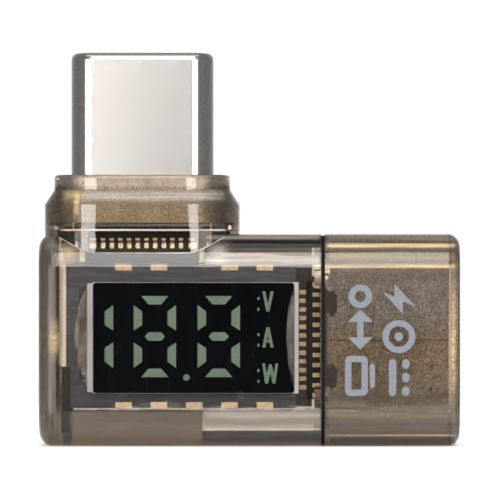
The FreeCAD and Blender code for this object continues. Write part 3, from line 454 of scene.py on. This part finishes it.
def moulding(name, light, dark, roughness, gloss=0.5):
    """A moulded plastic or ceramic body with a fine matt grain."""
    shader = Shader(name)
    grit = shader.noise(0.12 * MM, 3.0)
    cloud = shader.noise(1.5 * MM, 2.0)
    body = shader.principled(Specular_IOR_Level=gloss)
    shader.link(shader.ramp(cloud, [(0.35, dark), (0.65, light)]), body.inputs["Base Color"])
    shader.link(shader.span(grit, roughness - 0.08, roughness + 0.1), body.inputs["Roughness"])
    shader.link(shader.bump(grit, 0.006 * MM, 0.7), body.inputs["Normal"])
    return shader.finish(body.outputs["BSDF"])


def board(name, light, dark, strips=()):
    """Solder mask over copper tracks, which show as faint raised lines, with strips of other colours, each
    between two corners of a box."""
    shader = Shader(name)
    weave = shader.noise(0.5 * MM, 2.0, (6.0, 1.0, 0.5))
    grit = shader.noise(0.1 * MM, 3.0)
    colour = shader.ramp(weave, [(0.46, dark), (0.54, light)])
    for corners, pale, dim in strips:
        fibre = shader.ramp(grit, [(0.3, dim), (0.7, pale)])
        colour = shader.mix_colour(colour, fibre, "MIX", shader.inside(*corners))
    mask = shader.principled()
    shader.link(colour, mask.inputs["Base Color"])
    shader.link(shader.span(grit, 0.3, 0.5), mask.inputs["Roughness"])
    tracks = shader.greys(weave, (0.48, 0.0), (0.52, 1.0))
    shader.link(shader.bump(tracks, 0.012 * MM, 0.6), mask.inputs["Normal"])
    return shader.finish(mask.outputs["BSDF"])


def readout_strips():
    """The grey board's painted highlight along its left edge, the painted shade of the slot under it, and the
    painted shadow beside the read-out's ledge.
    """
    painted_highlight_edge = upright_strip(board_low.x - 0.1 * MM, board_low.x + 0.24 * MM, foot=CLIP_TOP)
    painted_shade_edge = upright_strip(board_low.x + 0.1 * MM, board_low.x + 0.48 * MM, top=CLIP_TOP)
    shadow = upright_strip(ledge_left - 0.50 * MM, ledge_left - 0.02 * MM,
                           sleeve_middle - 2.3 * MM, sleeve_middle + 3.0 * MM)
    return [(painted_highlight_edge, linear(252, 248, 240), linear(222, 216, 206)),
            (painted_shade_edge, linear(26, 24, 24), linear(14, 13, 14)),
            (shadow, linear(30, 28, 29), linear(18, 17, 18))]


def black_film(name):
    """The read-out's glossy blue-black face film, with faint dust and smears."""
    shader = Shader(name)
    smear = shader.noise(1.4 * MM, 4.0, (0.5, 1, 2.5))
    film = shader.principled(Specular_IOR_Level=0.12)
    colour = shader.ramp(smear, [(0.35, linear(2, 4, 10)), (0.7, linear(6, 10, 18))])
    shader.link(colour, film.inputs["Base Color"])
    shader.link(shader.span(smear, 0.06, 0.14), film.inputs["Roughness"])
    shader.link(shader.bump(shader.noise(0.3 * MM), 0.001 * MM, 0.3), film.inputs["Normal"])
    return shader.finish(film.outputs["BSDF"])


def segment_resin(name):
    """Pale green diffusing resin with a fine speckle."""
    shader = Shader(name)
    speckle = shader.noise(0.12 * MM, 3.0)
    resin = shader.principled()
    colour = shader.ramp(speckle, [(0.3, linear(82, 110, 98)), (0.7, linear(106, 136, 124))])
    shader.link(colour, resin.inputs["Base Color"])
    shader.link(shader.span(speckle, 0.4, 0.6), resin.inputs["Roughness"])
    shader.link(shader.bump(speckle, 0.01 * MM, 0.6), resin.inputs["Normal"])
    return shader.finish(resin.outputs["BSDF"])


def glue(name):
    """Clear, wavy glue with a few brown streaks."""
    shader = Shader(name)
    waves = shader.noise(0.22 * MM, 2.0, (1.0, 1.0, 7.0))
    glass = shader.principled(IOR=1.48, Transmission_Weight=1.0)
    tint = shader.ramp(waves, [(0.40, (0.30, 0.23, 0.15)), (0.47, (0.92, 0.88, 0.82)),
                               (0.60, (0.98, 0.98, 0.97))])
    shader.link(tint, glass.inputs["Base Color"])
    shader.link(shader.span(waves, 0.02, 0.1), glass.inputs["Roughness"])
    shader.link(shader.bump(waves, 0.10 * MM), glass.inputs["Normal"])
    return shader.finish(lets_lamps_through(shader, glass.outputs["BSDF"], (1.0, 1.0, 1.0, 1.0)))


def ink(name, light, dark):
    """Pad-printed ink, slightly uneven."""
    shader = Shader(name)
    patches = shader.noise(0.25 * MM, 4.0)
    paint = shader.principled()
    shader.link(shader.ramp(patches, [(0.3, dark), (0.7, light)]), paint.inputs["Base Color"])
    shader.link(shader.span(patches, 0.45, 0.65), paint.inputs["Roughness"])
    shader.link(shader.bump(patches, 0.01 * MM, 0.6), paint.inputs["Normal"])
    return shader.finish(paint.outputs["BSDF"])


def plug_steel(name):
    """The plug's shell, bare above the collar, with painted gold glints inside it, painted lighter to silver in
    the collar's ring.
    """
    low, high = enlarged_box(plug_low, plug_high)
    high.z = case_high.z
    return satin_steel(name, 0.17, (low, high), gold=(0.56, 0.52, 0.42), silver=(0.92, 0.93, 0.95),
                       painted_light_rise=(case_high.z - 0.75 * MM, case_high.z - 0.6 * MM))


def port_steel(name):
    """The socket's shell, keyed to the sleeve all along, with painted glints that are gold below and painted
    lighter to silver above, a seam down its middle and a golden mouth.
    """
    return satin_steel(name, 0.28, enlarged_box(port_low, port_high), gold=(0.30, 0.27, 0.21),
                       silver=(0.36, 0.39, 0.46), painted_light_rise=(port_middle - 0.4 * MM, port_middle + 1.8 * MM),
                       rim=port_high.x - 0.36 * MM, seam=port_middle)


def make_materials():
    """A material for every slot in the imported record."""
    return {
        "smoke_plastic": smoke_plastic("smoke_case"),
        "plug_steel": plug_steel("plug_steel_satin"),
        "port_steel": port_steel("port_steel_satin"),
        "spring_steel": bright_metal("spring_steel_plain", linear(200, 198, 196), linear(186, 184, 182), 0.3),
        "gilt": bright_metal("gilt_flash", linear(188, 174, 150), linear(152, 136, 108), 0.34),
        "solder": bright_metal("solder_bright", linear(240, 232, 214), linear(198, 190, 172), 0.25),
        "black_moulding": moulding("black_moulding", linear(10, 10, 12), linear(5, 5, 7), 0.4, 0.2),
        "board_black": board("board_black_mask", linear(22, 22, 25), linear(14, 14, 17)),
        "board_grey": board("board_grey_mask", linear(62, 67, 84), linear(47, 52, 65), readout_strips()),
        "white_moulding": moulding("white_moulding", linear(200, 204, 216), linear(184, 188, 200), 0.4),
        "black_film": black_film("readout_film"),
        "segment_resin": segment_resin("segment_resin_sage"),
        "clear_glue": glue("clear_glue_bead"),
        "ceramic": moulding("capacitor_ceramic", linear(170, 146, 112), linear(152, 126, 94), 0.4),
        "resistor_body": moulding("package_black", linear(40, 40, 42), linear(28, 28, 30), 0.4),
        "light_chip": moulding("light_chip_pale", linear(224, 216, 140), linear(204, 196, 120), 0.3),
        "dark_seal": moulding("dark_seal_rubber", linear(14, 13, 13), linear(8, 8, 8), 0.6, 0.12),
    }


def dress_nodes():
    """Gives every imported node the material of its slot."""
    materials = make_materials()
    slots = {part["node"]: part["material_slot"] for part in frame["record"]["subparts"]}
    for name, node in frame["nodes"].items():
        node.data.materials.clear()
        node.data.materials.append(materials[slots[name]])


# ---------------------------------------------------------------- printed marks and specks

def place_object(name, data):
    """Makes an object from its data and puts it in the scene."""
    made = bpy.data.objects.new(name, data)
    bpy.context.scene.collection.objects.link(made)
    return made


def built_mesh(name, build):
    """A finished mesh from an edit mesh."""
    mesh = bpy.data.meshes.new(name)
    build.to_mesh(mesh)
    build.free()
    return mesh


def prism(mesh, outline, hole=None):
    """Adds a flat plate, or a ring if it has a hole with as many corners, to a mesh lying in the XY plane."""
    def loop(points, height):
        return [mesh.verts.new((u * MM, v * MM, height)) for u, v in points]
    bottom, top = loop(outline, -INK_THICK / 4), loop(outline, INK_THICK)
    count = len(outline)
    neighbours = [(i, (i + 1) % count) for i in range(count)]
    for i, j in neighbours:
        mesh.faces.new((bottom[i], bottom[j], top[j], top[i]))
    if hole is None:
        mesh.faces.new(top)
        mesh.faces.new(bottom[::-1])
        return
    low, high = loop(hole, -INK_THICK / 4), loop(hole, INK_THICK)
    for i, j in neighbours:
        mesh.faces.new((low[j], low[i], high[i], high[j]))
        mesh.faces.new((top[i], top[j], high[j], high[i]))
        mesh.faces.new((bottom[j], bottom[i], low[i], low[j]))


def rounded(middle_u, middle_v, length, height, radius, steps=6):
    """The corners of a rounded rectangle."""
    points = []
    for quarter, (side_u, side_v) in enumerate([(1, 1), (-1, 1), (-1, -1), (1, -1)]):
        centre_u = middle_u + side_u * (length / 2 - radius)
        centre_v = middle_v + side_v * (height / 2 - radius)
        for step in range(steps + 1):
            angle = math.radians(90 * (quarter + step / steps))
            points.append((centre_u + radius * math.cos(angle), centre_v + radius * math.sin(angle)))
    return points


def frame_mark(mesh, middle_u, middle_v, length, height, radius):
    """A rounded outline as wide as the stroke."""
    inner = (length - 2 * STROKE, height - 2 * STROKE, max(radius - STROKE, 0.08))
    prism(mesh, rounded(middle_u, middle_v, length, height, radius), rounded(middle_u, middle_v, *inner))


def bar_mark(mesh, middle_u, middle_v, length, height):
    """A bar with rounded ends."""
    prism(mesh, rounded(middle_u, middle_v, length, height, 0.499 * min(length, height)))


def screen_mark(mesh, middle_u):
    """A small screen on a foot."""
    frame_mark(mesh, middle_u, 0.22, 2.3, 1.3, 0.3)
    bar_mark(mesh, middle_u, -0.69, 1.4, 0.3)


def arrow_mark(mesh, middle_u):
    """A double-headed arrow."""
    half, wing, neck = 1.15, 0.72, 0.44
    prism(mesh, [(middle_u + u, v) for u, v in [
        (-half, 0), (-neck, -wing), (-neck, -STROKE / 2), (neck, -STROKE / 2), (neck, -wing),
        (half, 0), (neck, wing), (neck, STROKE / 2), (-neck, STROKE / 2), (-neck, wing)]])


def bolt_mark(mesh, middle_u):
    """A lightning bolt."""
    prism(mesh, [(middle_u + u, v) for u, v in [
        (0.45, 0.98), (-0.86, -0.22), (-0.14, -0.22), (-0.42, -0.98), (0.86, 0.26), (0.14, 0.26)]])


def direct_current_mark(mesh, middle_u):
    """A long bar over three short ones."""
    bar_mark(mesh, middle_u, 0.36, 2.1, 0.42)
    for place in (-0.78, 0.0, 0.78):
        bar_mark(mesh, middle_u + place, -0.40, 0.54, 0.42)


def ring_mark(mesh, middle_u):
    """A plain ring."""
    frame_mark(mesh, middle_u, 0, 1.36, 1.36, 0.679)


def target_mark(mesh, middle_u):
    """A larger ring round a dot."""
    frame_mark(mesh, middle_u, 0, 1.9, 1.9, 0.949)
    bar_mark(mesh, middle_u, 0, 0.5, 0.5)


def add_marks():
    """Two columns of plain signs printed up the sleeve's front, in place of the maker's ratings. Each column
    has its distance from the sleeve's left end, and each sign the height of its middle in the column."""
    columns = [(2.62 * MM, [(screen_mark, 1.2), (arrow_mark, 3.85), (ring_mark, 5.75)]),
               (4.83 * MM, [(direct_current_mark, 1.1), (target_mark, 3.45), (bolt_mark, 5.6)])]
    column_foot = 2.87 * MM
    lilac = ink("print_lilac", linear(116, 119, 127), linear(102, 105, 113))
    for number, (across, signs) in enumerate(columns, start=1):
        build = bmesh.new()
        for sign, middle in signs:
            sign(build, middle)
        name = f"printed_column_{number}"
        column = place_object(name, built_mesh(name, build))
        column.matrix_world = Matrix(((0, -1, 0, sleeve_low.x + across), (0, 0, -1, sleeve_low.y),
                                      (1, 0, 0, sleeve_low.z + column_foot), (0, 0, 0, 1)))
        column.data.materials.append(lilac)
        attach(column, BODY)


def add_collar_edge():
    """A pale bead along the crease where the front of the plug's collar runs down into the case's top edge, a
    painted highlight in place of the light that the small fillet there catches.
    """
    collar_front = -3.62 * MM
    collar_round = 3.0 * MM
    collar_flat_half = 2.635 * MM
    case_edge_round = 1.9 * MM
    reach = 4.75 * MM
    steps = 48
    middle = (plug_low.x + plug_high.x) / 2
    curve = bpy.data.curves.new("collar_edge", "CURVE")
    curve.dimensions = "3D"
    curve.bevel_depth = 0.035 * MM
    curve.bevel_resolution = 3
    spline = curve.splines.new("POLY")
    spline.points.add(steps)
    for step, point in enumerate(spline.points):
        offset = (2 * step / steps - 1) * reach
        past_flat = max(abs(offset) - collar_flat_half, 0.0)
        front = collar_front + collar_round - math.sqrt(collar_round ** 2 - past_flat ** 2)
        inset = front - (sleeve_low.y + case_edge_round)
        height = sleeve_high.z - case_edge_round + math.sqrt(case_edge_round ** 2 - inset ** 2)
        point.co = (middle + offset, front, height, 1.0)
    edge = place_object("collar_edge", curve)
    # the bead's pale colour is a painted highlight
    curve.materials.append(moulding("collar_crease_painted_highlight", linear(190, 186, 180), linear(120, 116, 110), 0.2))
    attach(edge, BODY)


def add_specks():
    """A few dark specks of dust on the front, as there are on a handled meter. Each has its place across and
    up, and its radius, in millimetres."""
    spots = [(10.40, 3.31, 0.15), (-8.07, 1.88, 0.07), (9.6, 5.9, 0.04), (-11.3, 1.4, 0.04), (5.2, 1.3, 0.04)]
    chance = random.Random(7)
    build = bmesh.new()
    for across, up, size in spots:
        turn = Matrix.Rotation(chance.uniform(0, math.tau), 4, "Y")
        place = Matrix.Translation((across * MM, sleeve_low.y, up * MM))
        shape = Matrix.Diagonal((size * MM, INK_THICK, 0.6 * size * MM, 1.0))
        made = bmesh.ops.create_icosphere(build, subdivisions=2, radius=1.0, matrix=place @ turn @ shape)
        for corner in made["verts"]:
            corner.co += Vector((chance.uniform(-1, 1), 0, chance.uniform(-1, 1))) * 0.12 * size * MM
    specks = place_object("dust_specks", built_mesh("dust_specks", build))
    specks.data.materials.append(moulding("dust_dark", linear(46, 38, 32), linear(26, 22, 20), 0.8))
    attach(specks, BODY)


# ---------------------------------------------------------------- stage, lights and camera

def add_floor():
    """A plain pale floor that the meter stands on."""
    half = 0.08
    mesh = bpy.data.meshes.new("floor")
    corners = [(-half, -half, 0), (half, -half, 0), (half, half, 0), (-half, half, 0)]
    mesh.from_pydata(corners, [], [(0, 1, 2, 3)])
    floor = place_object("floor", mesh)
    shader = Shader("floor_pale")
    paper = shader.principled(Roughness=0.8)
    shader.link(shader.greys(shader.noise(0.08, 2.0), (0.3, 0.93), (0.7, 0.95)), paper.inputs["Base Color"])
    mesh.materials.append(shader.finish(paper.outputs["BSDF"]))


def add_world():
    """A studio that is white behind the meter, grey at the sides and dark round the camera."""
    front_to_back = [(0.008, 0.03), (0.04, 0.26), (0.60, 0.26), (0.88, 0.42), (0.97, 1.0)]
    world = bpy.data.worlds.new("studio")
    bpy.context.scene.world = world
    world.use_nodes = True
    tree = world.node_tree
    tree.nodes.clear()
    output = tree.nodes.new("ShaderNodeOutputWorld")
    place = tree.nodes.new("ShaderNodeTexCoord")
    split = tree.nodes.new("ShaderNodeSeparateXYZ")
    tree.links.new(place.outputs["Generated"], split.inputs[0])
    depth = tree.nodes.new("ShaderNodeMapRange")
    depth.inputs["From Min"].default_value = -1.0
    tree.links.new(split.outputs["Y"], depth.inputs["Value"])
    ramp = tree.nodes.new("ShaderNodeValToRGB")
    tree.links.new(depth.outputs["Result"], ramp.inputs["Fac"])
    while len(ramp.color_ramp.elements) < len(front_to_back):
        ramp.color_ramp.elements.new(0.5)
    for element, (position, grey) in zip(ramp.color_ramp.elements, front_to_back):
        element.position = position
        element.color = (grey, grey, grey, 1.0)
    seen = tree.nodes.new("ShaderNodeBackground")
    seen.inputs["Color"].default_value = (1.02, 1.02, 1.02, 1)
    lit = tree.nodes.new("ShaderNodeBackground")
    tree.links.new(ramp.outputs["Color"], lit.inputs["Color"])
    path = tree.nodes.new("ShaderNodeLightPath")
    mix = tree.nodes.new("ShaderNodeMixShader")
    tree.links.new(path.outputs["Is Camera Ray"], mix.inputs["Fac"])
    tree.links.new(lit.outputs["Background"], mix.inputs[1])
    tree.links.new(seen.outputs["Background"], mix.inputs[2])
    tree.links.new(mix.outputs["Shader"], output.inputs["Surface"])


def add_softbox(name, azimuth, elevation, width, height, power):
    """A rectangular lamp aimed at the meter. Azimuth 0 is the camera's side and 90 is the right."""
    data = bpy.data.lights.new(name, "AREA")
    data.shape = "RECTANGLE"
    data.size = width
    data.size_y = height
    data.energy = power
    lamp = place_object(name, data)
    around = math.radians(azimuth)
    up = math.radians(elevation)
    offset = Vector((math.sin(around) * math.cos(up), -math.cos(around) * math.cos(up), math.sin(up)))
    lamp.location = (cad_box[0] + cad_box[1]) / 2 + LAMP_DISTANCE * offset
    lamp.rotation_euler = (-offset).to_track_quat("-Z", "Y").to_euler()


def add_lights():
    """Softboxes beside the camera and above it, and an even light that whitens the floor."""
    add_softbox("left_strip", azimuth=-19.5, elevation=2, width=0.25, height=0.11, power=0.70)
    add_softbox("right_strip", azimuth=14.5, elevation=2, width=0.15, height=0.11, power=0.42)
    add_softbox("front_top", azimuth=0, elevation=30, width=0.20, height=0.40, power=1.25)
    add_softbox("top_panel", azimuth=0, elevation=74, width=0.40, height=0.26, power=0.30)
    data = bpy.data.lights.new("overhead", "SUN")
    data.energy = 3.4
    data.angle = math.radians(70)
    place_object("overhead", data).visible_glossy = False


def add_camera():
    """A long lens straight in front, its height and distance set by the meter's own box."""
    picture_width = 1.198 * (cad_box[1].x - cad_box[0].x)
    aim_right, aim_down = 0.04 * MM, 0.065 * MM
    data = bpy.data.cameras.new("camera")
    data.sensor_width = SENSOR
    data.lens = LENS
    data.clip_start = 0.01
    data.clip_end = 20.0
    camera = place_object("camera", data)
    middle = (cad_box[0] + cad_box[1]) / 2
    camera.location = (middle.x + aim_right, -picture_width * LENS / SENSOR, middle.z - aim_down)
    camera.rotation_euler = (math.radians(90), 0, 0)
    bpy.context.scene.camera = camera


def set_view():
    """Plain screen colours, and enough bounces for the layers of clear plastic."""
    scene = bpy.context.scene
    scene.view_settings.view_transform = "Standard"
    scene.cycles.max_bounces = 20
    scene.cycles.transmission_bounces = 16
    scene.cycles.transparent_max_bounces = 24


dress_nodes()
add_marks()
add_collar_edge()
add_specks()
add_floor()
add_world()
add_lights()
add_camera()
set_view()
